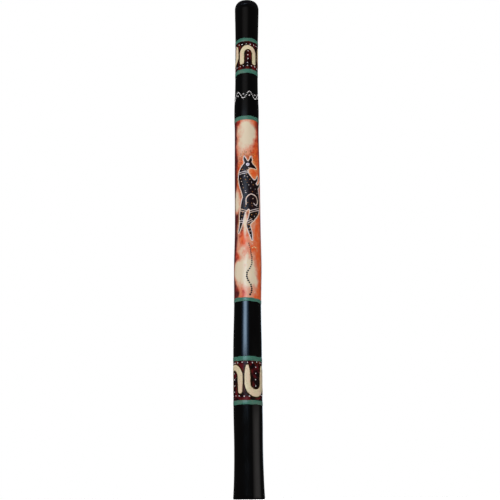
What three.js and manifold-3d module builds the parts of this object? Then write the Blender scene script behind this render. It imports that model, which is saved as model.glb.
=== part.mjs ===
import * as THREE from "three";
import { mergeVertices } from "three/addons/utils/BufferGeometryUtils.js";
import Module from "manifold-3d";

const wasm = await Module();
wasm.setup();

// A didgeridoo in millimetres, standing on its bell end. The origin is the centre of the bell rim, +Z runs
// along the tube to the mouth, and the painted front faces -Y. The body is split lengthwise into a front
// and a back shell, glued along seams on the +X and -X sides, and a turned ring closes the mouth end.

// Driving dimensions, along the tube.
const LENGTH = 1200;
const DOME_HEIGHT = 16;
const SPIGOT_LENGTH = 36;

// The outside: a taper that steepens upwards, a flare at each end and a swelling at each node of the culm.
const BODY_DIAMETER = 61.9;
const TAPER = { loss: 11.5, power: 2.5 };
const MOUTH_FLARE = { gain: 9.6, reach: 106, power: 1.5 };
const BELL_FLARE = { gain: 6.6, reach: 45, power: 1 };
const NODES = [
  { height: 187, gain: 2.4, reach: 57 },
  { height: 320, gain: 2.9, reach: 70 },
  { height: 512, gain: 3.0, reach: 58 },
  { height: 725, gain: 0.8, reach: 70 },
  { height: 903, gain: 3.2, reach: 36 },
];
const NODE_POWER = 2;

// The bore: a straight cone, with a low ridge where each node's diaphragm was cleared away.
const BORE_AT_BELL = 52;
const BORE_AT_MOUTH = 43;
const RIDGE = { loss: 2.4, halfWidth: 6 };

// The mouthpiece ring.
const MOUTH_HOLE = 30;
const THROAT_TOP = 10;
const THROAT_LENGTH = 12;
const SPIGOT_WALL = 2.2;

// A natural stick is never quite straight: the middle line sways to -X twice on its way up.
const SWAY = 1.7;
const SWAY_LOBES = 2;

// Rounding of the bell rim, and the glue gap between neighbours.
const RIM_ROUND_OUTSIDE = 2;
const RIM_ROUND_BORE = 2.5;
const GLUE_GAP = 0.3;

// Fineness of the solids.
const SIDES = 48;
const OUTSIDE_STEP = 30;
const BORE_STEP = 75;
const ARC_STEPS = 6;
const ROUNDING_STEPS = 3;

const SEAT_HEIGHT = LENGTH - DOME_HEIGHT;
const SPIGOT_END = SEAT_HEIGHT - SPIGOT_LENGTH;
const QUARTER_TURN = Math.PI / 2;

// exp(-(distance / reach)^power): 1 at no distance, fading to 0.
function fade(distance, { reach, power }) {
  return Math.exp(-Math.pow(Math.abs(distance) / reach, power));
}

function outerDiameter(height) {
  const taper = TAPER.loss * Math.pow(height / LENGTH, TAPER.power);
  const mouth = MOUTH_FLARE.gain * fade(LENGTH - height, MOUTH_FLARE);
  const bell = BELL_FLARE.gain * fade(height, BELL_FLARE);
  let swelling = 0;
  for (const { height: middle, gain, reach } of NODES) {
    swelling += gain * fade(height - middle, { reach, power: NODE_POWER });
  }
  return BODY_DIAMETER - taper + mouth + bell + swelling;
}

function boreDiameter(height) {
  return THREE.MathUtils.lerp(BORE_AT_BELL, BORE_AT_MOUTH, height / LENGTH);
}

function sway(height) {
  return -SWAY * Math.pow(Math.sin((SWAY_LOBES * Math.PI * height) / LENGTH), 2);
}

// Evenly spaced heights from low to high, about `spacing` apart, both ends included.
function heightsBetween(low, high, spacing) {
  const steps = Math.round((high - low) / spacing);
  const heights = [];
  for (let step = 0; step <= steps; step += 1) {
    heights.push(THREE.MathUtils.lerp(low, high, step / steps));
  }
  return heights;
}

// Points of a quarter ellipse about a centre, from the angle `from` to the angle `to`.
function arc(centreRadius, centreHeight, halfWidth, halfHeight, from, to, steps) {
  const points = [];
  for (let step = 0; step <= steps; step += 1) {
    const angle = THREE.MathUtils.lerp(from, to, step / steps);
    const radius = centreRadius + halfWidth * Math.cos(angle);
    points.push(new THREE.Vector2(radius, centreHeight + halfHeight * Math.sin(angle)));
  }
  return points;
}

function outsideWall() {
  const heights = heightsBetween(RIM_ROUND_OUTSIDE, SEAT_HEIGHT, OUTSIDE_STEP).slice(1);
  return heights.map((height) => new THREE.Vector2(outerDiameter(height) / 2, height));
}

// The bore's wall from the mouth end down, where each ridge is a low peak between two feet.
function boreWall() {
  const points = [];
  for (const height of heightsBetween(RIM_ROUND_BORE, SEAT_HEIGHT, BORE_STEP).slice(1)) {
    const onRidge = NODES.some((node) => Math.abs(height - node.height) < 2 * RIDGE.halfWidth);
    if (!onRidge) {
      points.push(new THREE.Vector2(boreDiameter(height) / 2, height));
    }
  }
  for (const { height } of NODES) {
    for (const side of [-1, 0, 1]) {
      const loss = side === 0 ? RIDGE.loss : 0;
      const at = height + side * RIDGE.halfWidth;
      points.push(new THREE.Vector2((boreDiameter(at) - loss) / 2, at));
    }
  }
  return points.sort((lower, upper) => upper.y - lower.y);
}

// The closed profile of the whole tube, anticlockwise with the radius to the right: rim, outside, bore.
function tubeProfile() {
  const rimOutside = outerDiameter(0) / 2;
  const rimBore = boreDiameter(0) / 2;
  const boreCorner = arc(
    rimBore + RIM_ROUND_BORE,
    RIM_ROUND_BORE,
    RIM_ROUND_BORE,
    RIM_ROUND_BORE,
    2 * QUARTER_TURN,
    3 * QUARTER_TURN,
    ROUNDING_STEPS,
  );
  const outerCorner = arc(
    rimOutside - RIM_ROUND_OUTSIDE,
    RIM_ROUND_OUTSIDE,
    RIM_ROUND_OUTSIDE,
    RIM_ROUND_OUTSIDE,
    3 * QUARTER_TURN,
    4 * QUARTER_TURN,
    ROUNDING_STEPS,
  );
  return [...boreCorner, ...outerCorner, ...outsideWall(), ...boreWall()];
}

// The ring's closed profile: spigot, seat on the tube's end, domed lip, throat, and a cone down the spigot.
function mouthpieceProfile() {
  const seat = SEAT_HEIGHT + GLUE_GAP;
  const lipOutside = outerDiameter(SEAT_HEIGHT) / 2;
  const throat = MOUTH_HOLE / 2;
  const crown = (lipOutside + throat) / 2;
  const halfWidth = lipOutside - crown;
  const throatTop = LENGTH - THROAT_TOP;
  const spigotOutside = boreDiameter(SPIGOT_END) / 2 - GLUE_GAP;
  const spigotAtSeat = boreDiameter(seat) / 2 - GLUE_GAP;
  return [
    new THREE.Vector2(spigotOutside - SPIGOT_WALL, SPIGOT_END),
    new THREE.Vector2(spigotOutside, SPIGOT_END),
    new THREE.Vector2(spigotAtSeat, seat),
    ...arc(crown, seat, halfWidth, LENGTH - seat, 0, QUARTER_TURN, ARC_STEPS),
    ...arc(crown, throatTop, halfWidth, THROAT_TOP, QUARTER_TURN, 2 * QUARTER_TURN, ARC_STEPS).slice(1),
    new THREE.Vector2(throat, throatTop - THROAT_LENGTH),
  ];
}

// A closed profile turned about Z, with a flat side facing each of +X, -X, +Y and -Y, then swayed.
function turned(profile) {
  const halfSide = Math.PI / SIDES;
  const geometry = new THREE.LatheGeometry([...profile, profile[0]], SIDES, halfSide);
  geometry.rotateX(QUARTER_TURN);
  const position = geometry.getAttribute("position");
  for (let i = 0; i < position.count; i += 1) {
    position.setX(i, position.getX(i) + sway(position.getZ(i)));
  }
  return geometry;
}

function toSolid(geometry) {
  const bare = geometry.clone();
  bare.deleteAttribute("normal");
  bare.deleteAttribute("uv");
  const merged = mergeVertices(bare);
  const mesh = new wasm.Mesh({
    numProp: 3,
    vertProperties: merged.getAttribute("position").array,
    triVerts: new Uint32Array(merged.getIndex().array),
  });
  return new wasm.Manifold(mesh);
}

function toGeometry(solid) {
  const { vertProperties, triVerts } = solid.getMesh();
  const geometry = new THREE.BufferGeometry();
  geometry.setAttribute("position", new THREE.BufferAttribute(vertProperties, 3));
  geometry.setIndex(new THREE.BufferAttribute(triVerts, 1));
  geometry.computeVertexNormals();
  return geometry;
}

// One half of the tube: side -1 is the front and +1 the back. Half the glue gap is taken off its seams.
function halfShell(tube, side) {
  const width = 2 * BODY_DIAMETER;
  const keep = new THREE.BoxGeometry(width, width, 2 * LENGTH);
  keep.translate(0, side * (width / 2 + GLUE_GAP / 2), 0);
  return toGeometry(tube.intersect(toSolid(keep)));
}

function piece(name, geometry, colour, roughness) {
  const material = new THREE.MeshStandardMaterial({ color: colour, roughness, metalness: 0 });
  const mesh = new THREE.Mesh(geometry, material);
  mesh.name = name;
  return mesh;
}

const tube = toSolid(turned(tubeProfile()));
const didgeridoo = new THREE.Group();
didgeridoo.add(piece("front_half_shell", halfShell(tube, -1), 0x111216, 0.22));
didgeridoo.add(piece("back_half_shell", halfShell(tube, 1), 0x111216, 0.22));
didgeridoo.add(piece("mouthpiece_ring", turned(mouthpieceProfile()), 0x0d0e11, 0.18));

export default didgeridoo;
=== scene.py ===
"""A painted didgeridoo standing on its bell end: two glued half shells, a turned mouthpiece ring, and the
lacquer, grounds, rings, arches, dots and leaping figure laid on them.

The tube is swayed and flared by the same few sizes as its solid model. Everything painted is a real,
slightly raised film, placed by how far round the tube it is (its turn, 0 at the front and growing to the
right) and how high up."""

import math

import bpy
import numpy as np
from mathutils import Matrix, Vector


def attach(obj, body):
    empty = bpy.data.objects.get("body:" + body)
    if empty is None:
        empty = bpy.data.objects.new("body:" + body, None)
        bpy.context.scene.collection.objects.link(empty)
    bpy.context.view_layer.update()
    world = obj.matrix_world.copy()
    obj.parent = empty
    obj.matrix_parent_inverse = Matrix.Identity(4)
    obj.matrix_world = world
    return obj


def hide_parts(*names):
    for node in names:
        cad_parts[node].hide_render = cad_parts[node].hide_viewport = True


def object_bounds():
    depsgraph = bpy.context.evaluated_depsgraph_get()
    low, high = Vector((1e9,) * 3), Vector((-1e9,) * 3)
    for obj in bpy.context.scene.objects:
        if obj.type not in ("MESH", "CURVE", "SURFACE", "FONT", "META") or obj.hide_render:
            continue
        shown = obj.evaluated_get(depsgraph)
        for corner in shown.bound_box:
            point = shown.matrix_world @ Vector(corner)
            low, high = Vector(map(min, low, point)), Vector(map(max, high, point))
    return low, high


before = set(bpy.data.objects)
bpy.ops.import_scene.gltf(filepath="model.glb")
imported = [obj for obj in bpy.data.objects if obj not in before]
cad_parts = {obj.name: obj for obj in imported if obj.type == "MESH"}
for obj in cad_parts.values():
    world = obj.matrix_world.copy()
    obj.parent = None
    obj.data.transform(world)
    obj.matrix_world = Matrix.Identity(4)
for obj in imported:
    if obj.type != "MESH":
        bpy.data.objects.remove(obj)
cad_low, cad_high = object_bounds()

MM = 0.001
DEGREE = math.pi / 180
FULL_TURN = 2 * math.pi

# The tube's outline, as the solid model has it.
LENGTH = cad_high.z
DOME_HEIGHT = 16 * MM
SPIGOT_LENGTH = 36 * MM
BODY_DIAMETER = 61.9 * MM
TAPER_LOSS, TAPER_POWER = 11.5 * MM, 2.5
MOUTH_FLARE, MOUTH_REACH, MOUTH_POWER = 9.6 * MM, 106 * MM, 1.5
BELL_FLARE, BELL_REACH = 6.6 * MM, 45 * MM
NODE_HEIGHTS = np.array([187, 320, 512, 725, 903]) * MM
NODE_GAINS = np.array([2.4, 2.9, 3.0, 0.8, 3.2]) * MM
NODE_REACHES = np.array([57, 70, 58, 70, 36]) * MM
BORE_AT_BELL, BORE_AT_MOUTH = 52 * MM, 43 * MM
RIDGE_LOSS, RIDGE_REACH = 2.4 * MM, 4 * MM
MOUTH_HOLE = 30 * MM
SWAY, SWAY_LOBES = 1.7 * MM, 2
SEAT_HEIGHT = LENGTH - DOME_HEIGHT
SPIGOT_END = SEAT_HEIGHT - SPIGOT_LENGTH
GLUE_GAP = 0.3 * MM

# How thick the lacquer is, how high each layer's top stands over it, and how far the halos round the figure
# and the strokes reach.
LACQUER = 0.35 * MM
GROUND_LIFT = 0.1 * MM
SUNK = -0.05 * MM
RING_LIFT = 0.38 * MM
FIGURE_HALO, STROKE_HALO = 7 * MM, 5 * MM

# Where the painter put things, up the tube.
RING_HEIGHTS = np.array([1085.5, 1000, 874.5, 429.5, 296.5, 201.5]) * MM
RING_TILTS = np.array([0.4, -0.5, 0.5, 3, 1.5, 0.6]) * DEGREE
RING_WIDTHS = np.array([9.4, 11.3, 10.4, 8.5, 10.1, 9.5]) * MM
RING_WANDER = 0.28 * MM


# ---- the tube as a surface

def fade(distance, reach, power=2.0):
    """exp(-(|distance| / reach)^power): 1 at no distance, dying away past the reach."""
    return np.exp(-((np.abs(distance) / reach) ** power))


def outer_radius(height):
    """Half of: the body's diameter, less a taper that grows as a power of the height, plus a flare that
    fades away from each end, plus one bell-shaped swelling at each node."""
    height = np.clip(np.asarray(height, float), 0, LENGTH)
    taper = TAPER_LOSS * (height / LENGTH) ** TAPER_POWER
    mouth = MOUTH_FLARE * fade(LENGTH - height, MOUTH_REACH, MOUTH_POWER)
    bell = BELL_FLARE * fade(height, BELL_REACH, 1)
    swellings = NODE_GAINS * fade(height[..., None] - NODE_HEIGHTS, NODE_REACHES)
    return (BODY_DIAMETER - taper + mouth + bell + swellings.sum(axis=-1)) / 2


def bore_radius(height):
    """A straight cone from the bell's bore to the mouth's, less a low round ridge at each node."""
    height = np.asarray(height, float)
    cone = BORE_AT_BELL + (BORE_AT_MOUTH - BORE_AT_BELL) * height / LENGTH
    ridges = RIDGE_LOSS * fade(height[..., None] - NODE_HEIGHTS, RIDGE_REACH)
    return (cone - ridges.sum(axis=-1)) / 2


def placed(radius, turn, height):
    """Points at a radius and a turn about the swayed middle line, whose x is minus the sway times the
    squared sine of two half waves up the tube."""
    middle = -SWAY * np.sin(SWAY_LOBES * math.pi * height / LENGTH) ** 2
    x = middle + radius * np.sin(turn)
    y = -radius * np.cos(turn)
    return np.stack(np.broadcast_arrays(x, y, height), axis=-1)


def on_tube(turn, height, lift):
    """Points standing `lift` proud of the lacquered outside."""
    return placed(outer_radius(height) + lift, turn, height)


# ---- arrays into pieces

def grid_faces(rows, columns, rows_wrap, columns_wrap):
    """Quads over a grid of points numbered row by row. A wrapping way joins its last line to its first."""
    i = np.arange(rows if rows_wrap else rows - 1)[:, None]
    j = np.arange(columns if columns_wrap else columns - 1)[None, :]
    above, beside = (i + 1) % rows, (j + 1) % columns
    corners = [i * columns + j, i * columns + beside, above * columns + beside, above * columns + j]
    return np.stack(np.broadcast_arrays(*corners), axis=-1).reshape(-1, 4)


def stand(name, data):
    """A new object in the scene, at the origin."""
    thing = bpy.data.objects.new(name, data)
    bpy.context.collection.objects.link(thing)
    return thing


def add_piece(name, points, faces, finish, node=None, marks=None):
    """A smooth mesh object at the origin that rides on the instrument. Each of `marks` is a number for
    each point, kept as an attribute that the finish may read. `node` is the solid that it stands for."""
    mesh = bpy.data.meshes.new(name)
    faces = faces.tolist() if isinstance(faces, np.ndarray) else faces
    mesh.from_pydata(np.reshape(points, (-1, 3)), [], faces)
    for mark, values in (marks or {}).items():
        attribute = mesh.attributes.new(mark, "FLOAT", "POINT")
        attribute.data.foreach_set("value", np.ravel(values).astype(np.float32))
    mesh.shade_smooth()
    mesh.materials.append(finish)
    piece = stand(name, mesh)
    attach(piece, "root")
    if node:
        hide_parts(node)


def turns(sides):
    """Evenly spaced turns once round the tube, from the back, so that any join lies there."""
    return math.pi + np.arange(sides) * FULL_TURN / sides


def turned_loop(name, loop, finish, node=None):
    """A closed profile carried once round the tube: a ring without ends."""
    sides = 160
    points = placed(loop[:, :1], turns(sides), loop[:, 1:])
    add_piece(name, points, grid_faces(len(loop), sides, True, True), finish, node)


def film_round(name, height, lift, finish, marks=None):
    """A film once round the tube. `height` is a grid, row by row upwards and turn by turn, with a lift for
    each row or one for all. About a fifth as many rows, sunk just under the lacquer, run back down to close
    it underneath."""
    turn = turns(height.shape[1])
    top = len(height)
    under = np.linspace(top - 1, 0, max(2, top // 5)).round().astype(int)
    lift = np.concatenate([np.broadcast_to(lift, height.shape), np.full((len(under), len(turn)), SUNK)])
    height = np.concatenate([height, height[under]])
    marks = {mark: np.concatenate([values, values[under]]) for mark, values in (marks or {}).items()}
    faces = grid_faces(len(height), len(turn), True, True)
    add_piece(name, on_tube(turn, height, lift), faces, finish, marks=marks)


def half_shell(name, node, middle_turn, loop, finish):
    """A closed profile carried half way round, less half the glue gap at each end. Each end is closed by
    a strip of quads that joins each outside point to the bore point beside it."""
    sides = 96
    spread = np.linspace(-math.pi / 2, math.pi / 2, sides + 1)
    radius, height = loop[:, :1], loop[:, 1:]
    near_seam = np.abs(spread) > 86 * DEGREE
    short_of_seam = GLUE_GAP / 2 / radius * np.sign(spread) * near_seam
    points = placed(radius, middle_turn + spread - short_of_seam, height)
    rows = len(loop)
    faces = grid_faces(rows, sides + 1, True, False)
    outside = np.arange(rows // 2 - 1)
    bore = rows - 1 - outside
    strip = np.stack([outside, outside + 1, bore - 1, bore], axis=1) * (sides + 1)
    faces = np.concatenate([faces, strip, (strip + sides)[:, ::-1]])
    add_piece(name, points, faces, finish, node)


def directed_borders(faces, count):
    """The edges that only one quad has, each pointing the way that quad goes round it."""
    start, end = faces.ravel(), np.roll(faces, -1, axis=1).ravel()
    alone = ~np.isin(start * count + end, end * count + start)
    return start[alone], end[alone]


def cells_inside(gap):
    """Which cells of a grid of signed distances lie inside, widened where two would meet only at a corner."""
    inside = (gap[:-1, :-1] + gap[1:, :-1] + gap[:-1, 1:] + gap[1:, 1:]) < 0
    for _ in range(3):
        low_left, low_right = inside[:-1, :-1], inside[:-1, 1:]
        high_left, high_right = inside[1:, :-1], inside[1:, 1:]
        rising = low_left & high_right & ~low_right & ~high_left
        falling = low_right & high_left & ~low_left & ~high_right
        corner = rising | falling
        for patch in (low_left, low_right, high_left, high_right):
            patch |= corner
    return inside


def snapped(across, up, distance, step):
    """Points moved onto the line where the distance is 0: twice, by the distance along its slope, and by
    no more than four steps."""
    nearly_flat = 1e-6
    for _ in range(2):
        gap = distance(across, up)
        slope_across = (distance(across + step, up) - distance(across - step, up)) / (2 * step)
        slope_up = (distance(across, up + step) - distance(across, up - step)) / (2 * step)
        pull = np.clip(gap / (slope_across**2 + slope_up**2 + nearly_flat), -4 * step, 4 * step)
        across, up = across - pull * slope_across, up - pull * slope_up
    return across, up


def paint_film(name, distance, centre, low, high, finish, thickness, edge, pitch, base=GROUND_LIFT):
    """A raised film over each flat point whose signed distance is below 0, between the corners `low` and
    `high` around `centre` (turn, height). Its top rises from the border as a quarter round that is `edge`
    wide: thickness times the root of 1 - (1 - depth / edge)^2."""
    turn, height = centre
    radius = float(outer_radius(height))
    grid = np.meshgrid(np.arange(low[0], high[0], pitch), np.arange(low[1], high[1], pitch))
    gap = distance(*grid)
    inside = cells_inside(gap)
    i, j = np.nonzero(inside)
    columns = gap.shape[1]
    corner = i * columns + j
    quads = np.stack([corner, corner + 1, corner + columns + 1, corner + columns], axis=1)
    used, quads = np.unique(quads, return_inverse=True)
    quads = quads.reshape(-1, 4)
    across, up = grid[0].ravel()[used], grid[1].ravel()[used]
    start, end = directed_borders(quads, len(used))
    border = np.unique(start)
    across[border], up[border] = snapped(across[border], up[border], distance, pitch / 4)
    depth = np.clip(-distance(across, up) / edge, 0, 1)
    depth[border] = 0
    lift = base + thickness * np.sqrt(1 - (1 - depth) ** 2)
    top = on_tube(turn + across / radius, height + up, lift)
    under = on_tube(turn + across / radius, height + up, base + SUNK)
    count = len(used)
    sides = np.stack([end, start, start + count, end + count], axis=1)
    faces = np.concatenate([quads, sides, quads[:, ::-1] + count])
    marks = {"depth": np.concatenate([depth, depth])}
    add_piece(name, np.concatenate([top, under]), faces, finish, marks=marks)


# How many lobes put a dab out of round, by what share, and how far they turn from each dab to the next.
DAB_LOBES = ((2, 0.07, 2.4), (3, 0.05, 1.7))


def dabbed_dots(name, turn, height, radius, finish, tallness=0.36, base=GROUND_LIFT):
    """Round dots dabbed on with a stick, one for each turn, height and radius. Each is a low dome of 14
    sides: its rings reach the radius times the cosine, and stand the radius times the tallness times the
    sine, of a climb through a quarter turn. A point on top and one underneath close it. A sine for each kind
    of lobe puts it out of round."""
    sides, rings = 14, 2
    angle = np.append(np.tile(np.arange(sides) * FULL_TURN / sides, rings), [0, 0])
    climb = np.append(np.repeat(np.arange(rings), sides), [rings, rings]) * math.pi / 2 / rings
    across, up, lift = np.cos(climb) * np.cos(angle), np.cos(climb) * np.sin(angle), np.sin(climb)
    lift[-1] = 0
    turn, height, radius = (np.asarray(v, float)[:, None] for v in (turn, height, radius))
    which = np.arange(len(turn))[:, None]
    lobed = [share * np.sin(lobes * angle + twist * which) for lobes, share, twist in DAB_LOBES]
    reach = radius * (1 + sum(lobed))
    points_up = height + up * reach
    points = on_tube(turn + across * reach / outer_radius(height), points_up,
                     base + SUNK * (lift == 0) + lift * radius * tallness)
    walls = grid_faces(rings, sides, False, True)
    last, crown, foot = (rings - 1) * sides, rings * sides, rings * sides + 1
    beside = (np.arange(sides) + 1) % sides
    crown_fan = np.stack([last + np.arange(sides), last + beside, np.full(sides, crown)], axis=1)
    foot_fan = np.stack([beside, np.arange(sides), np.full(sides, foot)], axis=1)
    shift = (np.arange(len(points)) * (rings * sides + 2))[:, None, None]
    quads = (walls[None] + shift).reshape(-1, 4).tolist()
    triangles = (np.concatenate([crown_fan, foot_fan])[None] + shift).reshape(-1, 3).tolist()
    add_piece(name, points, quads + triangles, finish)


# ---- finishes

def tone(red, green, blue):
    """A paint chart's colour, 0 to 255, as the shader wants it: each share c of 255 becomes c / 12.92 up to
    0.04045, and ((c + 0.055) / 1.055)^2.4 above."""
    shares = np.array([red, green, blue]) / 255
    linear = np.where(shares <= 0.04045, shares / 12.92, ((shares + 0.055) / 1.055) ** 2.4)
    return (*linear.tolist(), 1.0)


class Finish:
    """A material being mixed: one shader, and short ways to add the patterns that feed its sockets."""

    def __init__(self, name, specular=0.5):
        self.material = bpy.data.materials.new(name)
        self.material.use_nodes = True
        self.tree = self.material.node_tree
        self.shader = self.tree.nodes["Principled BSDF"]
        self.shader.inputs["Specular IOR Level"].default_value = specular
        self.place = self.node("TexCoord").outputs["Object"]
        self.colour = None

    def feed(self, socket, value):
        """Links a pattern to a socket, or sets a plain value on it."""
        if isinstance(value, bpy.types.NodeSocket):
            self.tree.links.new(value, socket)
        else:
            socket.default_value = value

    def node(self, kind, **fed):
        """A new node with its named sockets fed."""
        node = self.tree.nodes.new("ShaderNode" + kind)
        for socket, value in fed.items():
            self.feed(node.inputs[socket.replace("_", " ")], value)
        return node

    def stretched(self, across, along):
        """Places squeezed so that a pattern repeats `across` times a metre sideways and `along` upwards."""
        return self.node("Mapping", Scale=(across, across, along), Vector=self.place).outputs["Vector"]

    def cloud(self, across, along=None, detail=3.0, roughness=0.5, warp=0.0):
        """Cloudy noise from 0 to 1, finer the more clouds there are to a metre."""
        where = self.stretched(across, across if along is None else along)
        return self.node("TexNoise", Vector=where, Scale=1.0, Detail=detail, Roughness=roughness,
                         Distortion=warp).outputs["Fac"]

    def specks(self, per_metre, size, soft=0.06):
        """1 inside round specks, one to a cell, each `size` of a cell in radius, and 0 between them."""
        cells = self.node("TexVoronoi", Vector=self.stretched(per_metre, per_metre), Scale=1.0)
        return self.ramp(cells.outputs["Distance"], size + soft, size)

    def ramp(self, value, low, high, bottom=0.0, top=1.0):
        """An S-shaped step from `bottom` at `low` to `top` at `high`."""
        step = self.node("MapRange", Value=value, From_Min=low, From_Max=high, To_Min=bottom, To_Max=top)
        step.interpolation_type = "SMOOTHSTEP"
        return step.outputs["Result"]

    def sum(self, *terms):
        """The sum of (value, weight) terms and plain numbers."""
        total = 0.0
        for term in terms:
            value, weight = term if isinstance(term, tuple) else (term, 1.0)
            total = self.worked("MULTIPLY_ADD", value, weight, total)
        return total

    def worked(self, rule, *values):
        """One sum of arithmetic on values or patterns."""
        node = self.node("Math")
        node.operation = rule
        for socket, value in zip(node.inputs, values):
            self.feed(socket, value)
        return node.outputs["Value"]

    def over(self, share, colour, under=None):
        """Lays a colour, 0 to 255 as on a paint chart, over the paint so far by a share from 0 to 1. The
        first coat goes over the `under` colour."""
        mix = self.node("Mix")
        mix.data_type = "RGBA"
        fraction, first, second = mix.inputs[0], mix.inputs[6], mix.inputs[7]
        self.feed(fraction, share)
        self.feed(first, self.colour if under is None else tone(*under))
        self.feed(second, tone(*colour))
        self.colour = mix.outputs[2]

    def mark(self, name):
        """A number that the piece holds at each of its points."""
        attribute = self.node("Attribute")
        attribute.attribute_name = name
        return attribute.outputs["Fac"]

    def height(self):
        """How high up the tube, in metres."""
        return self.node("SeparateXYZ", Vector=self.place).outputs["Z"]

    def done(self, roughness, relief=None, depth=0.0):
        """Feeds the shader and hands over the material. `relief` from 0 to 1 is `depth` metres deep."""
        self.feed(self.shader.inputs["Base Color"], self.colour)
        self.feed(self.shader.inputs["Roughness"], roughness)
        if relief is not None:
            bump = self.node("Bump", Strength=1.0, Distance=depth, Height=relief)
            self.feed(self.shader.inputs["Normal"], bump.outputs["Normal"])
        return self.material


def black_lacquer():
    """Near-black gloss with cloudy smudges, brushed-out ripples and the stick's grain showing through,
    and bare wood where the bell rim has been set down."""
    f = Finish("black_lacquer")
    f.over(f.cloud(35, 12), (9, 8, 8), under=(3, 3, 3))
    chips = f.sum((f.cloud(420, detail=4), 1.0), (f.ramp(f.height(), 0.003, 0.0), 0.2))
    worn = f.ramp(chips, 0.77, 0.80)
    f.over(worn, (96, 70, 44))
    smudges = f.cloud(60, 25, detail=5, roughness=0.65)
    roughness = f.sum((f.ramp(smudges, 0.3, 0.75), 0.07), (worn, 0.35), 0.12)
    grain = f.cloud(260, 5, detail=4)
    ripples = f.cloud(45, 90, detail=2)
    relief = f.sum((grain, 0.35), (ripples, 0.4), (f.cloud(700), 0.12), (worn, -0.5))
    return f.done(roughness, relief, 0.00012)


def black_lip_lacquer():
    """The mouthpiece's black: a finer coat, a little less glossy, with round-and-round turning ripples."""
    f = Finish("black_lip_lacquer")
    f.over(f.cloud(60), (19, 18, 20), under=(9, 9, 12))
    smudges = f.cloud(130, detail=5, roughness=0.65)
    roughness = f.sum((f.ramp(smudges, 0.3, 0.75), 0.12), 0.18)
    return f.done(roughness, f.sum((f.cloud(8, 800), 0.5), (f.cloud(300), 0.3)), 0.0001)


def bare_bamboo():
    """Straw-brown fibres running up the tube, darker in streaks and scorched in patches by the hot rod
    that cleared the bore."""
    f = Finish("bare_bamboo", 0.35)
    fibres = f.cloud(1100, 14, detail=5, roughness=0.6)
    streaks = f.cloud(160, 4, detail=3)
    f.over(fibres, (206, 168, 112), under=(150, 108, 62))
    f.over(f.ramp(streaks, 0.45, 0.75), (110, 72, 40))
    f.over(f.ramp(f.cloud(30, 14, detail=4), 0.5, 0.72), (62, 40, 24))
    return f.done(f.sum((fibres, 0.2), 0.5), f.sum((fibres, 0.7), (streaks, 0.3)), 0.0006)


def teal_paint():
    """Blue-green paint brushed round the tube: fine level streaks, thin greyish passages and soft ridges."""
    f = Finish("teal_paint")
    streaks = f.cloud(14, 900, detail=3)
    patches = f.cloud(55, 120, detail=3)
    f.over(streaks, (84, 138, 120), under=(52, 104, 88))
    f.over(f.ramp(patches, 0.45, 0.75), (102, 130, 114))
    return f.done(f.sum((patches, 0.15), 0.2), f.sum((streaks, 0.8), (patches, 0.2)), 0.00025)


def cream_paint():
    """Thick cream paint: warmer and pinker in patches, ochre where it thins at its edge, ridged by the
    brush and freckled with the dark ground showing through."""
    f = Finish("cream_paint")
    patches = f.cloud(70, 45, detail=3)
    f.over(f.ramp(patches, 0.35, 0.7), (242, 212, 184), under=(232, 220, 182))
    f.over(f.ramp(f.cloud(420, 260, detail=4), 0.56, 0.72), (186, 164, 122))
    f.over(f.ramp(f.mark("depth"), 0.5, 0.0), (176, 140, 84))
    return f.done(f.sum((patches, 0.15), 0.28), f.cloud(520, 150, detail=3), 0.0003)


def dot_paint(name, colour, speck):
    """A dab of paint whose colour drifts a little from dab to dab."""
    f = Finish(name)
    drift = f.cloud(160, detail=2)
    f.over(f.ramp(drift, 0.35, 0.7), speck, under=colour)
    return f.done(f.sum((drift, 0.1), 0.25), f.cloud(900), 0.0001)


def maroon_ground():
    """A dark ground of maroon and purple-black clouds, scumbled brown close to the cream strokes."""
    f = Finish("maroon_ground", 0.22)
    clouds = f.cloud(75, detail=5, roughness=0.6)
    f.over(f.ramp(f.cloud(40, detail=3), 0.35, 0.65), (90, 34, 18), under=(98, 15, 28))
    f.over(f.ramp(clouds, 0.64, 0.44), (19, 9, 12))
    halo = f.ramp(f.sum(f.mark("near_stroke"), (f.cloud(300, detail=4), 0.35)), 0.55, 1.05)
    f.over(halo, (40, 27, 12))
    return f.done(f.sum((clouds, 0.1), 0.1), f.cloud(380, detail=4), 0.00012)


def sunset_ground():
    """The picture's sponged ground: maroon warming through red to orange, with salmon-edged cream patches
    over it, dark maroon clouds whose long bands down both sides are painted shade, and a spatter of pale
    specks close round the figure."""
    f = Finish("sunset_ground")
    sponge = f.cloud(120, 100, detail=6, roughness=0.62)
    texture = f.sum((sponge, 1.1), (f.cloud(38, 30, detail=3), 1.3), -1.2)
    warm = f.sum(f.mark("orange"), texture)
    f.over(f.ramp(warm, 0.0, 0.45), (190, 56, 40), under=(92, 26, 28))
    f.over(f.ramp(warm, 0.3, 0.85), (238, 98, 44))
    flecks = f.ramp(f.cloud(75, 60, detail=5, roughness=0.6, warp=0.5), 0.48, 0.68)
    f.over(f.worked("MULTIPLY", flecks, f.ramp(warm, 0.2, 0.8, 0.0, 0.55)), (246, 150, 96))
    f.over(f.ramp(f.sum(f.mark("halo"), (sponge, 0.5), -0.25), 0.35, 0.95, 0.0, 0.6), (240, 176, 116))
    pale = f.sum(f.mark("cream"), texture)
    f.over(f.ramp(pale, 0.1, 0.55), (232, 146, 116))
    f.over(f.ramp(pale, 0.4, 1.15), (236, 218, 190))
    # Dark maroon over the ground. Down both sides this is painted shade.
    f.over(f.ramp(f.sum(f.mark("dark_and_side_shade"), (texture, 0.7)), 0.3, 0.9), (82, 22, 26))
    spatter = f.worked("MULTIPLY", f.specks(250, 0.3), f.ramp(f.mark("halo"), 0.25, 0.7))
    f.over(f.worked("MULTIPLY", spatter, 0.75), (232, 196, 140))
    return f.done(f.sum((sponge, 0.12), 0.26), f.sum((sponge, 0.7), (f.cloud(700), 0.3)), 0.00025)


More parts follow.
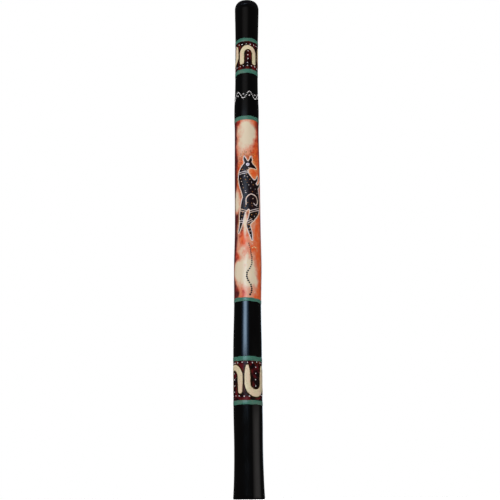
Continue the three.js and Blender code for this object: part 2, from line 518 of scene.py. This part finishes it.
def figure_paint():
    """Brown-black paint, faintly purple in clouds and stippled with the brush's tip."""
    f = Finish("figure_paint")
    stipple = f.cloud(380, detail=4)
    f.over(f.ramp(f.cloud(90), 0.4, 0.7), (36, 21, 26), under=(20, 11, 11))
    f.over(f.ramp(stipple, 0.6, 0.75), (70, 46, 46))
    return f.done(f.sum((stipple, 0.15), 0.22), stipple, 0.0002)


def outline_paint():
    """Thin dry-brushed paint, lavender-white to pink, broken where the dark figure shows through."""
    f = Finish("outline_paint")
    f.over(f.ramp(f.cloud(34), 0.42, 0.58), (246, 216, 194), under=(236, 224, 226))
    f.over(f.ramp(f.cloud(520, detail=4), 0.62, 0.78), (150, 112, 106))
    return f.done(0.3, f.cloud(600), 0.0001)


# ---- the wooden parts and their lacquer

BORE_ROUND, RIM_ROUND = 2.5 * MM, 2 * MM
PAINTED_BORE = 9 * MM
UNDER_COAT = 0.05 * MM
THROAT_DEPTH, THROAT_LENGTH = 10 * MM, 12 * MM
SPIGOT_WALL = 2.2 * MM
QUARTER = np.linspace(0, math.pi / 2, 9)


def profile(radius, height):
    """Radii and heights side by side, a point to a row."""
    return np.stack(np.broadcast_arrays(radius, height), axis=-1)


def bell_corners(inset):
    """The bell rim's two rounded corners as quarter circles: one turning out of the bore and one turning up
    into the outside, both `inset` inside the finished surface."""
    bore_swing, rim_swing = BORE_ROUND - inset, RIM_ROUND - inset
    bore_centre, rim_centre = bore_radius(BORE_ROUND) + BORE_ROUND, outer_radius(RIM_ROUND) - RIM_ROUND
    return (profile(bore_centre - bore_swing * np.cos(QUARTER), BORE_ROUND - bore_swing * np.sin(QUARTER)),
            profile(rim_centre + rim_swing * np.sin(QUARTER), RIM_ROUND - rim_swing * np.cos(QUARTER)))


def lacquered_face(inset):
    """A profile down the last of the bore, round both bell corners and up the outside."""
    down = np.linspace(PAINTED_BORE, BORE_ROUND, 6)[:-1]
    up = np.linspace(RIM_ROUND, SEAT_HEIGHT, 150)[1:]
    return np.concatenate([profile(bore_radius(down) + inset, down), *bell_corners(inset),
                           profile(outer_radius(up) - inset, up)])


def black_coat(finish):
    """The lacquer as a skin of even thickness: its face, then the same face a coat's thickness inside."""
    turned_loop("black_coat", np.concatenate([lacquered_face(0.0), lacquered_face(LACQUER)[::-1]]), finish)


def bamboo_halves(finish):
    """The two bare half shells: up the outside from the rim's corner, and back down the ridged bore."""
    inset = LACQUER + UNDER_COAT
    bore_corner, rim_corner = bell_corners(inset)
    up = np.linspace(3 * MM, SEAT_HEIGHT, 240)
    bore_wall = bore_radius(up) + inset * (up < PAINTED_BORE)
    loop = np.concatenate([rim_corner, profile(outer_radius(up) - inset, up),
                           profile(bore_wall, up)[::-1], bore_corner])
    half_shell("front_half", "front_half_shell", 0.0, loop, finish)
    half_shell("back_half", "back_half_shell", math.pi, loop, finish)


def mouthpiece(finish):
    """The turned mouthpiece: up the outside of its spigot, out along the seat, over the lip as a quarter
    ellipse up to the crown and another down to the hole, down the throat, and a cone back to the start."""
    seat = SEAT_HEIGHT + GLUE_GAP
    lip_outside = outer_radius(SEAT_HEIGHT)
    throat = MOUTH_HOLE / 2
    crown = (lip_outside + throat) / 2
    half_width = lip_outside - crown
    throat_top = LENGTH - THROAT_DEPTH
    throat_foot = throat_top - THROAT_LENGTH
    spigot = bore_radius(SPIGOT_END) - GLUE_GAP
    cone, swing = np.linspace(0, 1, 8), np.linspace(0, math.pi / 2, 17)
    turned_loop("mouthpiece", np.concatenate([
        profile(spigot, np.linspace(SPIGOT_END, seat, 8)),
        profile(np.linspace(spigot, lip_outside, 6)[1:-1], seat),
        profile(crown + half_width * np.cos(swing), seat + (LENGTH - seat) * np.sin(swing)),
        profile(crown - half_width * np.sin(swing), throat_top + (LENGTH - throat_top) * np.cos(swing))[1:],
        profile(throat + (spigot - SPIGOT_WALL - throat) * cone,
                throat_foot + (SPIGOT_END - throat_foot) * cone)]), finish, "mouthpiece_ring")


# ---- rings and grounds

def ring_line(number, turn):
    """A ring's middle height: level, less its tilt's tangent times how far to the right it has come."""
    radius = outer_radius(RING_HEIGHTS[number])
    return RING_HEIGHTS[number] - math.tan(RING_TILTS[number]) * radius * np.sin(turn)


def wander(random, turn, size, waves=12):
    """A wobble round the tube: sines of 2, 3, 4 and more waves, each with a random phase and less tall the
    finer it is."""
    count = np.arange(2, waves + 2)[:, None]
    phase = random.uniform(0, FULL_TURN, (waves, 1))
    return size * (np.sin(count * turn + phase) / np.sqrt(count)).sum(axis=0)


def teal_rings(finish):
    """Six brushed bands. A band reaches half its width, and a wander of its own, to each side of its
    line, and stands proud by the root of 1 - a^4, a being -1 and 1 at its edges."""
    random = np.random.default_rng(11)
    turn = turns(240)
    a = np.linspace(-1, 1, 15)[:, None]
    for number in range(len(RING_HEIGHTS)):
        low, high = wander(random, turn, RING_WANDER), wander(random, turn, RING_WANDER)
        half = RING_WIDTHS[number] / 2
        height = ring_line(number, turn) + a * half + np.where(a < 0, -a * low, a * high)
        film_round(f"teal_ring_{number + 1}", height, RING_LIFT * np.sqrt(1 - a**4), finish)


def between_rings(upper, lower, rows, columns):
    """A grid of turns and heights from the lower ring's line up to the upper one's."""
    turn = turns(columns)
    share = np.linspace(0, 1, rows)[:, None]
    low, high = ring_line(lower, turn), ring_line(upper, turn)
    height = low + (high - low) * share
    return np.broadcast_to(turn, height.shape), height


def turned_by(turn, centre):
    """How far round from a centre, the short way, from minus to plus half a turn."""
    return (turn - centre + math.pi) % FULL_TURN - math.pi


def blots(turn, height, spots):
    """The sum of flat-topped round blots, each its strength times exp(-(across^2 + up^2)^2), across and up
    being counted in its own reaches."""
    total = np.zeros(np.broadcast(turn, height).shape)
    for middle_turn, middle_height, reach_turn, reach_height, strength in spots:
        across = turned_by(turn, middle_turn * DEGREE) / (reach_turn * DEGREE)
        up = (height - middle_height * MM) / (reach_height * MM)
        total += strength * np.exp(-((across**2 + up**2) ** 2))
    return total


# The ground's clouds, as turn, height, reach in turn, reach in height and strength: degrees and millimetres.
CREAM_CLOUDS = [
    (-14, 840, 44, 24, 1.0), (-12, 802, 46, 28, 0.9), (22, 832, 30, 26, 0.75), (-4, 866, 32, 14, 0.6),
    (-57, 666, 26, 29, 1.1), (-40, 752, 18, 30, 0.35), (-12, 612, 9, 40, 0.9), (27, 608, 11, 30, 0.5),
    (-24, 488, 46, 34, 1.0), (16, 478, 34, 34, 0.95), (-46, 500, 26, 22, 0.7), (-14, 538, 22, 24, 0.6),
    (15, 524, 24, 18, 0.65), (0, 440, 50, 12, 0.4), (-46, 586, 20, 28, 0.35), (-38, 552, 24, 18, 0.4),
    (8, 562, 16, 22, 0.4), (128, 760, 40, 74, 0.9), (-135, 560, 36, 60, 0.9), (170, 480, 40, 36, 0.8),
    (-150, 810, 36, 40, 0.7), (105, 520, 26, 50, 0.5)]
ORANGE_CLOUDS = [
    (42, 700, 40, 140, 1.0), (46, 550, 36, 150, 1.1), (-36, 745, 40, 60, 0.8), (0, 862, 60, 22, 0.6),
    (-20, 540, 40, 40, 0.6), (-12, 574, 30, 26, 0.5), (0, 440, 90, 24, 0.7), (150, 640, 66, 150, 0.8),
    (-115, 700, 44, 90, 0.6), (-150, 470, 50, 50, 0.6), (120, 450, 40, 36, 0.5)]
# The dark clouds. The first two, long bands a quarter turn to each side, are painted shade where the tube
# turns away from the front. The rest are dark maroon paint.
DARK_CLOUDS_AND_SIDE_SHADE = [
    (90, 650, 22, 300, 0.7), (-92, 650, 28, 300, 0.75), (-56, 444, 22, 18, 0.8), (-66, 578, 22, 48, 0.65),
    (-64, 748, 24, 56, 0.8), (60, 860, 26, 16, 0.5), (-66, 850, 24, 26, 0.6), (180, 850, 80, 26, 0.6),
    (-170, 660, 20, 60, 0.45)]


def picture_panel(finish):
    """The picture's ground all round, marked with how cream or orange it is, how dark it is (maroon clouds,
    and painted shade down both sides), and with a halo of exp(-distance / reach) round the figure."""
    turn, height = between_rings(2, 3, 150, 200)
    across = turned_by(turn, FIGURE_TURN) * float(outer_radius(FIGURE_HEIGHT))
    outside = np.maximum(figure_distance(across, height - FIGURE_HEIGHT), 0)
    clouds = {"cream": CREAM_CLOUDS, "orange": ORANGE_CLOUDS, "dark_and_side_shade": DARK_CLOUDS_AND_SIDE_SHADE}
    marks = {mark: blots(turn, height, spots) for mark, spots in clouds.items()}
    marks["halo"] = np.exp(-outside / FIGURE_HALO)
    film_round("picture_panel", height, GROUND_LIFT, finish, marks)


# ---- arches

class Arch:
    """One thick brush stroke bent into an arch, legs down, or a cup, legs up: a turn in degrees, and sizes
    in millimetres."""

    BEND_HEIGHT, TINY = 1.15, 1e-9
    SWELL, JAG = 0.35 * MM, 0.12 * MM
    SWELL_UP, SWELL_ACROSS, JAG_UP, JAG_ACROSS = 9 * MM, 6 * MM, 1.7 * MM, 1.9 * MM

    def __init__(self, turn_degrees, low, high, width, arm, legs_up, bend_gain, tip_loss, seed):
        self.low, self.high, width, arm = (side * MM for side in (low, high, width, arm))
        self.turn, self.height = turn_degrees * DEGREE, (self.low + self.high) / 2
        self.half_arm, self.reach = arm / 2, (width - arm) / 2
        self.legs_up, self.bend_gain, self.tip_loss = legs_up, bend_gain, tip_loss
        self.phases = np.random.default_rng(seed).uniform(0, FULL_TURN, 4)

    def distance(self, across, up):
        """The distance to the stroke's middle line less half its width. The line is two upright legs joined
        by a half ellipse. The half width gains at the top of the bend and loses towards the tips, and
        swells with slow sines and jags with quick ones."""
        up = -up if self.legs_up else up
        half_tall = (self.high - self.low) / 2
        top, foot = half_tall - self.half_arm * (1 + self.bend_gain), self.half_arm - half_tall
        bend = self.BEND_HEIGHT * self.reach
        spring = top - bend
        over = np.maximum(up - spring, 0)
        from_middle = np.hypot(across, over * self.reach / bend) + self.TINY
        stretch = np.hypot(across, over) / from_middle
        to_bend = (from_middle - self.reach) * stretch
        below = np.maximum(foot - up, 0)
        to_line = np.hypot(to_bend, below)
        bent = np.clip(over / bend, 0, 1) ** 2
        tip = np.clip((spring - up) / (spring - foot), 0, 1) ** 2
        half = self.half_arm * (1 + self.bend_gain * bent - self.tip_loss * tip)
        first, second, third, fourth = self.phases
        swell = np.sin(up / self.SWELL_UP + first) + np.sin(across / self.SWELL_ACROSS + second)
        jag = np.sin(up / self.JAG_UP + third) * np.sin(across / self.JAG_ACROSS + fourth)
        return to_line - half - self.SWELL * swell - self.JAG * jag


UPPER_ARCHES = [Arch(7.5, 1018, 1070, 43, 11.8, False, -0.1, 0.12, 21),
                Arch(111, 1019, 1073, 42, 11.4, True, 0.05, 0.2, 22),
                Arch(190, 1018, 1070, 43, 11.8, False, 0, 0.1, 23),
                Arch(-90, 1019, 1073, 43, 11.6, True, 0.05, 0.2, 24)]
LOWER_ARCHES = [Arch(-66, 219.5, 285, 50.6, 12.4, False, 0.05, 0.1, 25),
                Arch(32.7, 213.8, 286, 51.5, 13.6, True, 0.2, 0.4, 26),
                Arch(122, 218, 285, 50, 13, False, 0.1, 0.2, 27),
                Arch(207.5, 216, 285, 51, 13, True, 0.15, 0.3, 28)]


def to_nearest(arches, turn, height):
    """The least distance from places on the tube to the edge of a stroke."""
    return np.min([arch.distance(turned_by(turn, arch.turn) * float(outer_radius(arch.height)),
                                 height - arch.height) for arch in arches], axis=0)


def motif_panel(name, upper, lower, arches, finish):
    """The ground of one band of arches, marked with a halo of exp(-distance / reach) round its strokes."""
    turn, height = between_rings(upper, lower, 60, 240)
    halo = np.exp(-np.maximum(to_nearest(arches, turn, height), 0) / STROKE_HALO)
    film_round(name, height, GROUND_LIFT, finish, {"near_stroke": halo})


def arch_films(name, arches, finish):
    """Each arch as a raised film of paint."""
    for number, arch in enumerate(arches, 1):
        half = arch.reach + arch.half_arm + 2 * MM
        half_tall = (arch.high - arch.low) / 2 + 2 * MM
        paint_film(f"{name}_{number}", arch.distance, (arch.turn, arch.height), (-half, -half_tall),
                   (half, half_tall), finish, thickness=0.5 * MM, edge=1.6 * MM, pitch=0.6 * MM)


# ---- dots

def motif_dots(name, arches, finish, seed):
    """White dots along the top and bottom of a band wherever a stroke leaves room, and a column of them up
    the middle of each arch, all set down by hand, so a little off their places."""
    random = np.random.default_rng(seed)
    count, in_column, unsteady = 18, 4, 0.8 * MM
    low, high = arches[0].low, arches[0].high
    turn = np.arange(count) * FULL_TURN / count - 2 * DEGREE + random.normal(0, 1.6, count) * DEGREE
    rows = [(turn, high + 3 * MM + random.normal(0, unsteady, count)),
            (turn + 7 * DEGREE, low - 4 * MM + random.normal(0, unsteady, count))]
    for arch in arches:
        column = np.linspace(-0.42, 0.2, in_column) * (high - low) * (-1 if arch.legs_up else 1)
        rows.append((arch.turn + random.normal(0, 1.5, in_column) * DEGREE, arch.height + column))
    turn, height = (np.concatenate(side) for side in zip(*rows))
    keep = to_nearest(arches, turn, height) > 2.2 * MM
    turn, height = turn[keep], height[keep]
    dabbed_dots(name, turn, height, random.uniform(1.3, 1.7, len(turn)) * MM, finish)


def collar_dots(finish):
    """A wave of dots once round the bare black collar: the height is the middle's plus a sine of six
    waves round the tube, with a larger dot in each bend."""
    random = np.random.default_rng(41)
    count, waves, middle, swing, back = 78, 6, 936 * MM, 9 * MM, 1.5 * MM
    turn = np.arange(count) * FULL_TURN / count
    height = middle + swing * np.sin(waves * turn) + random.normal(0, 0.15 * MM, count)
    bend_turn = (np.arange(2 * waves) + 0.5) * math.pi / waves
    bend_height = middle - back * np.sin(waves * bend_turn)
    turn, height = np.append(turn, bend_turn), np.append(height, bend_height)
    radius = np.append(random.uniform(1.4, 1.6, count), np.full(2 * waves, 1.9)) * MM
    dabbed_dots("collar_dots", turn, height, radius, finish, base=0.0)


# ---- the leaping figure

FIGURE_TURN, FIGURE_HEIGHT = 5 * DEGREE, 668 * MM
SOFT_JOIN = 1.1 * MM

# Each limb runs through a few points: across, up and how thick it is there, in millimetres.
LIMBS = [[(19, 79, 2.4), (11, 82, 5), (1, 85, 8.6), (-8, 76, 9.6), (-12, 60, 13), (-5, 40, 18), (6, 18, 22),
          (9, -4, 21)],
         [(-4, 91, 3.8), (-7.5, 98, 3.4), (-9.5, 106, 1.0)],
         [(3.6, 91, 3.8), (6.5, 98, 3.4), (7.5, 106, 1.0)],
         [(-2, 52, 6), (13, 43, 4.4), (22, 50, 2.8), (25, 58, 1.8)],
         [(4, 40, 5), (22, 33, 4), (30, 39, 2.6), (34, 47, 1.6)],
         [(12, -4, 20), (15, -26, 13), (7, -46, 7.6), (-1, -62, 4.4), (3, -80, 3.8), (7, -99, 1.2)],
         [(-2, -6, 15), (-13, -26, 8), (-17.5, -46, 5.4), (-19, -62, 3.8), (-25, -80, 1.3)]]


def drawn_through(points, steps=8):
    """A smooth curve through points. Each span is a cubic that leaves a point along half the way between
    the points before and after it."""
    points = np.array(points, float)
    ends = np.concatenate([2 * points[:1] - points[1:2], points, 2 * points[-1:] - points[-2:-1]])
    slope = (ends[2:] - ends[:-2]) / 2
    t = np.linspace(0, 1, steps, endpoint=False)[None, :, None]
    start, end = points[:-1, None], points[1:, None]
    leave, arrive = slope[:-1, None], slope[1:, None]
    spans = (start * (1 + 2 * t) * (1 - t) ** 2 + end * t**2 * (3 - 2 * t)
             + leave * t * (1 - t) ** 2 - arrive * t**2 * (1 - t))
    return np.concatenate([spans.reshape(-1, points.shape[1]), points[-1:]])


def capsule_distance(across, up, start, end):
    """The distance to the nearest place on a straight bone, less the limb's thickness there."""
    (x0, y0, r0), (x1, y1, r1) = np.array(start) * MM, np.array(end) * MM
    along = ((across - x0) * (x1 - x0) + (up - y0) * (y1 - y0)) / ((x1 - x0) ** 2 + (y1 - y0) ** 2)
    along = np.clip(along, 0, 1)
    return np.hypot(across - x0 - along * (x1 - x0), up - y0 - along * (y1 - y0)) - r0 - along * (r1 - r0)


def limb_distance(across, up, limb):
    """The least distance to the bones that the limb's curve is cut into."""
    curve = drawn_through(limb)
    nearest = np.full(np.broadcast(across, up).shape, LENGTH)
    for start, end in zip(curve, curve[1:]):
        nearest = np.minimum(nearest, capsule_distance(across, up, start, end))
    return nearest


def figure_distance(across, up):
    """The limbs' distances softly joined: -k log of the sum of exp(-distance / k)."""
    total = np.zeros(np.broadcast(across, up).shape)
    for limb in LIMBS:
        total += np.exp(-np.clip(limb_distance(across, up, limb), -0.03, 0.3) / SOFT_JOIN)
    return -SOFT_JOIN * np.log(total)


def double_bars(x, y, lean, length):
    """Two short parallel bars across a limb at x, y, turned by `lean` degrees from level."""
    apart, thickness = 4.4, 0.95
    along = np.array([math.cos(lean * DEGREE), math.sin(lean * DEGREE)]) * length / 2
    side = np.array([-along[1], along[0]]) / length * apart
    middles = (np.array([x, y]) - side, np.array([x, y]) + side)
    return [[(*(middle - along), thickness), (*(middle + along), thickness)] for middle in middles]


BARS = [*double_bars(-10.5, 66, 6, 24), *double_bars(14, -27, 22, 30), *double_bars(2, -54, 30, 14),
        *double_bars(-14, -28, -22, 18), *double_bars(-18.5, -54, -10, 10)]
HAUNCH = [(-6, -14, 1.3), (-5, 3, 1.3), (6, 12, 1.3), (19, 7, 1.3), (23, -5, 1.3), (18, -14, 1.3),
          (12, -10, 1.2)]
JAW = [(4, 77, 0.7), (-1, 72, 0.7), (-3, 66, 0.7)]


def lines_distance(across, up):
    """The nearest of the outline, which follows the figure's edge, and the lines drawn inside it: the double
    bars, a hook round the haunch and the jaw, cut off just inside the edge."""
    figure = figure_distance(across, up)
    outline = np.abs(figure - 0.5 * MM) - 1.1 * MM
    inner = limb_distance(across, up, HAUNCH)
    for line in [*BARS, JAW]:
        inner = np.minimum(inner, limb_distance(across, up, line))
    return np.minimum(outline, np.maximum(inner, figure + 0.3 * MM))


def dots_along(limb, share, spacing):
    """Places every `spacing` millimetres along a limb, off to its left by a share of its thickness."""
    curve = drawn_through(limb)
    step = np.diff(curve[:, :2], axis=0)
    travelled = np.append(0, np.cumsum(np.hypot(*step.T)))
    at = np.arange(spacing / 2, travelled[-1], spacing)
    x, y, thickness = (np.interp(at, travelled, side) for side in curve.T)
    ahead = np.interp(at, travelled[:-1], np.unwrap(np.arctan2(step[:, 1], step[:, 0])))
    return x - share * thickness * np.sin(ahead), y + share * thickness * np.cos(ahead)


EYE_ACROSS, EYE_UP = -1 * MM, 86 * MM


def on_figure(x, y):
    """The turn and height of places counted across and up from the figure's middle."""
    return FIGURE_TURN + x / outer_radius(FIGURE_HEIGHT), FIGURE_HEIGHT + y


def figure_on_panel(dark, pale, ochre, lavender):
    """The leaping figure as a dark film, its pale lines as a second film over its edge, an eye, and rows
    of dots that follow its limbs and keep clear of the lines."""
    place, low, high = (FIGURE_TURN, FIGURE_HEIGHT), (-38 * MM, -116 * MM), (44 * MM, 118 * MM)
    paint_film("kangaroo", figure_distance, place, low, high, dark, thickness=0.25 * MM, edge=1.2 * MM,
               pitch=0.5 * MM)
    paint_film("kangaroo_lines", lines_distance, place, low, high, pale, thickness=0.3 * MM, edge=0.7 * MM,
               pitch=0.4 * MM, base=0.2 * MM)
    random = np.random.default_rng(61)
    spine, leg, tail = LIMBS[0], LIMBS[5], LIMBS[6]
    rows = [(spine[2:], 0.62), (spine[3:], 0.12), (spine[3:], -0.55), (leg, 0.45), (leg, -0.35), (tail, 0.1)]
    x, y = np.concatenate([dots_along(limb, share, spacing=8.4) for limb, share in rows], axis=1)
    x, y = (x + random.normal(0, 0.5, len(x))) * MM, (y + random.normal(0, 0.5, len(y))) * MM
    keep = (figure_distance(x, y) < -2.2 * MM) & (lines_distance(x, y) > 1.5 * MM)
    keep &= np.hypot(x - EYE_ACROSS, y - EYE_UP) > 6 * MM
    x, y = x[keep], y[keep]
    is_ochre = random.random(len(x)) < 0.4
    for name, chosen, paint in (("ochre", is_ochre, ochre), ("pale", ~is_ochre, pale)):
        dabbed_dots(f"kangaroo_{name}_dots", *on_figure(x[chosen], y[chosen]),
                    random.uniform(1.0, 1.3, chosen.sum()) * MM, paint, base=0.32 * MM)
    eye = on_figure(np.array([EYE_ACROSS]), np.array([EYE_UP]))
    dabbed_dots("eye_patch", *eye, [4.6 * MM], lavender, tallness=0.07, base=0.3 * MM)
    dabbed_dots("pupil", *eye, [1.1 * MM], dark, tallness=0.25, base=0.58 * MM)


def head_speckle(paint):
    """Small dabs scattered close above the head: a grid of places, each shifted a little at random, keeping
    those a short way outside the figure."""
    random = np.random.default_rng(71)
    pitch, shift = 4.4, 1.1
    x, y = np.meshgrid(np.arange(-26, 26, pitch), np.arange(84, 124, pitch))
    x, y = ((side + random.uniform(-shift, shift, side.shape)).ravel() * MM for side in (x, y))
    gap = figure_distance(x, y)
    keep = (gap > 3.2 * MM) & (gap < 13 * MM)
    x, y = x[keep], y[keep]
    dabbed_dots("head_speckle", *on_figure(x, y), random.uniform(1.0, 1.35, len(x)) * MM, paint)


TRAIL_MIDDLE, TRAIL_SWING, TRAIL_WAVE = 3.6 * MM, 6 * MM, 63 * MM
TRAIL_CREST, TRAIL_STEP, DRAWN_OUT = 516 * MM, 4.6 * MM, 0.4


def meander_dots(dark, pale):
    """Two trails of black dots winding down, each place across being the trail's middle plus its swing times
    the cosine of a wave that crests at one height. The trail below the figure is drawn out above that crest.
    A pale speck lies beside every fifth dot, and three pale dots by the front trail's head."""
    random = np.random.default_rng(51)
    for name, middle_turn, top, bottom, drawn_out in (("front_trail", 0.0, 560 * MM, 436 * MM, DRAWN_OUT),
                                                      ("back_trail", math.pi, 640 * MM, 440 * MM, 1)):
        height = np.arange(top, bottom, -TRAIL_STEP)
        over_crest = height - TRAIL_CREST
        wave = over_crest * np.where(over_crest > 0, drawn_out, 1) * FULL_TURN / TRAIL_WAVE
        across = TRAIL_MIDDLE + TRAIL_SWING * np.cos(wave)
        across += random.normal(0, 0.3 * MM, len(height))
        radius = random.uniform(0.9, 1.1, len(height)) * np.linspace(1.6, 2.5, len(height)) * MM
        dabbed_dots(name, middle_turn + across / outer_radius(height), height, radius, dark, tallness=0.28)
        height, count = height[::5], len(height[::5])
        beside = across[::5] + random.choice([-1, 1], count) * random.uniform(6, 11, count) * MM
        dabbed_dots(f"{name}_specks", middle_turn + beside / outer_radius(height), height,
                    np.full(count, 1.1 * MM), pale)
    dabbed_dots("trail_head_dots", np.array([20, 27.5, 35]) * DEGREE, np.array([550, 552.5, 551]) * MM,
                np.array([1.7, 1.5, 1.6]) * MM, pale)


def back_rosette(dark, pale):
    """Rings of dots about one dot, on the back of the picture: each ring has as many dots as fit at an
    even spacing, and every other ring is black."""
    middle, spacing = 735 * MM, 5.2
    for number, reach in enumerate((0.0, 6.5, 12.5, 18.5, 24.5)):
        count = max(1, round(FULL_TURN * reach / spacing))
        swing = np.arange(count) * FULL_TURN / count
        height = middle + reach * MM * np.sin(swing)
        turn = math.pi + reach * MM * np.cos(swing) / outer_radius(height)
        dabbed_dots(f"back_rosette_{number}", turn, height, np.full(count, 1.5 * MM),
                    dark if number % 2 else pale, tallness=0.4)


# ---- the stage

def add_light(name, azimuth, distance, height, size, radiance, colour=(1, 1, 1), mirrored=False):
    """A soft rectangle of light that faces the tube's middle line, out of sight itself. Its power is pi
    times its area times its radiance. If mirrored it shows only in the gloss, and otherwise never there."""
    lamp = bpy.data.lights.new(name, "AREA")
    lamp.shape = "RECTANGLE"
    lamp.size, lamp.size_y = size
    lamp.energy = math.pi * size[0] * size[1] * radiance
    lamp.color = colour
    light = stand(name, lamp)
    light.location = (distance * math.sin(azimuth * DEGREE), -distance * math.cos(azimuth * DEGREE), height)
    light.rotation_euler = (90 * DEGREE, 0, azimuth * DEGREE)
    light.visible_camera = False
    light.visible_diffuse, light.visible_glossy = not mirrored, mirrored


def add_soft_streak(name, azimuth, distance, height, size, radiance, colour):
    """A lamp seen only as a reflection, bright in the middle and stepping down to its edges: three
    rectangles about one middle, each with a third of the radiance."""
    shares, step_back = (1.0, 0.72, 0.44), 0.01
    for number, share in enumerate(shares):
        add_light(f"{name}_{number}", azimuth, distance + step_back * number, height,
                  (size[0] * share, size[1] * share), radiance / len(shares), colour, mirrored=True)


def add_floor():
    """A wide pale sheet under the bell, faintly mottled."""
    mesh = bpy.data.meshes.new("floor")
    reach = 30.0
    corners = [(-reach, -reach, 0), (reach, -reach, 0), (reach, reach, 0), (-reach, reach, 0)]
    mesh.from_pydata(corners, [], [(0, 1, 2, 3)])
    f = Finish("pale_floor", 0.2)
    f.over(f.cloud(6), (250, 250, 250), under=(244, 244, 244))
    mesh.materials.append(f.done(0.6))
    floor = stand("floor", mesh)
    floor.visible_diffuse = floor.visible_glossy = False
    return floor


def add_floor_wash(floor, strength):
    """Soft light from straight above that falls on the floor alone."""
    lamp = bpy.data.lights.new("floor_wash", "SUN")
    lamp.energy, lamp.angle = strength, 60 * DEGREE
    light = stand("floor_wash", lamp)
    lit = bpy.data.collections.new("lit_by_floor_wash")
    lit.objects.link(floor)
    light.light_linking.receiver_collection = lit


def add_world(seen, felt):
    """An even white backdrop, `seen` bright to the camera and `felt` bright to the paint."""
    world = bpy.context.scene.world = bpy.data.worlds.new("studio")
    world.use_nodes = True
    tree = world.node_tree
    sky, strength = tree.nodes["Background"], tree.nodes.new("ShaderNodeMapRange")
    sky.inputs["Color"].default_value = (1, 1, 1, 1)
    strength.inputs["To Min"].default_value, strength.inputs["To Max"].default_value = felt, seen
    ray = tree.nodes.new("ShaderNodeLightPath").outputs["Is Camera Ray"]
    tree.links.new(ray, strength.inputs["Value"])
    tree.links.new(strength.outputs["Result"], sky.inputs["Strength"])


def add_camera():
    """Level with the bell, one and a half tube lengths in front, looking up along the tube."""
    lens = bpy.data.cameras.new("camera")
    lens.lens = 60.08
    lens.sensor_width = 36
    camera = stand("camera", lens)
    camera.location = (0.0019, -1.85, 0.004)
    camera.rotation_euler = ((90 + 16.53) * DEGREE, 0.31 * DEGREE, 0)
    bpy.context.scene.camera = camera


# ---- putting it together

lacquer, lip = black_lacquer(), black_lip_lacquer()
bamboo = bare_bamboo()
teal, cream = teal_paint(), cream_paint()
maroon, sunset = maroon_ground(), sunset_ground()
figure_black, figure_pale = figure_paint(), outline_paint()
white_dots = dot_paint("white_dot_paint", (244, 242, 240), (232, 224, 226))
ochre_dots = dot_paint("ochre_dot_paint", (206, 132, 52), (226, 176, 110))
butter_dots = dot_paint("butter_dot_paint", (244, 226, 168), (236, 214, 182))
brown_dots = dot_paint("brown_dot_paint", (112, 60, 24), (234, 186, 100))
eye_white = dot_paint("eye_paint", (206, 204, 232), (232, 226, 242))
black_dots = dot_paint("black_dot_paint", (12, 9, 10), (24, 18, 18))

bamboo_halves(bamboo)
black_coat(lacquer)
mouthpiece(lip)
picture_panel(sunset)
motif_panel("upper_motif_panel", 0, 1, UPPER_ARCHES, maroon)
motif_panel("lower_motif_panel", 4, 5, LOWER_ARCHES, maroon)
teal_rings(teal)
arch_films("upper_arch", UPPER_ARCHES, cream)
arch_films("lower_arch", LOWER_ARCHES, cream)
motif_dots("upper_motif_dots", UPPER_ARCHES, white_dots, 31)
motif_dots("lower_motif_dots", LOWER_ARCHES, white_dots, 32)
collar_dots(white_dots)
figure_on_panel(figure_black, figure_pale, ochre_dots, eye_white)
head_speckle(brown_dots)
meander_dots(black_dots, butter_dots)
back_rosette(black_dots, white_dots)

floor = add_floor()
add_world(seen=1.0, felt=0.03)
add_light("key", -8, 2.6, 0.9, (1.8, 1.6), 6.6)
add_soft_streak("streak", -20, 2.2, 0.9, (1.3, 0.6), 8.2, (0.58, 0.78, 1.0))
add_soft_streak("streak_flank", -19, 2.25, 0.94, (2.4, 0.66), 1.8, (0.25, 0.55, 1.0))
add_soft_streak("high_streak", -21, 2.2, 1.5, (2.2, 0.8), 1.1, (0.6, 0.8, 1.0))
add_soft_streak("top_streak", -16, 2.2, 2.3, (2.6, 1.2), 0.2, (1.0, 0.95, 0.92))
add_soft_streak("low_right", 66, 2.0, 0.2, (2.6, 0.6), 0.65, (1.0, 0.94, 0.92))
add_light("back", 180, 2.5, 0.9, (1.8, 1.6), 5.6)
add_soft_streak("back_streak", 166, 2.3, 0.9, (1.1, 1.5), 2.5, (0.7, 0.85, 1.0))
add_light("right_fill", 112, 2.5, 0.9, (1.4, 1.6), 4.2)
add_light("left_fill", -112, 2.5, 0.9, (1.4, 1.6), 4.2)
add_floor_wash(floor, 3.6)
add_camera()
bpy.context.scene.view_settings.view_transform = "Standard"
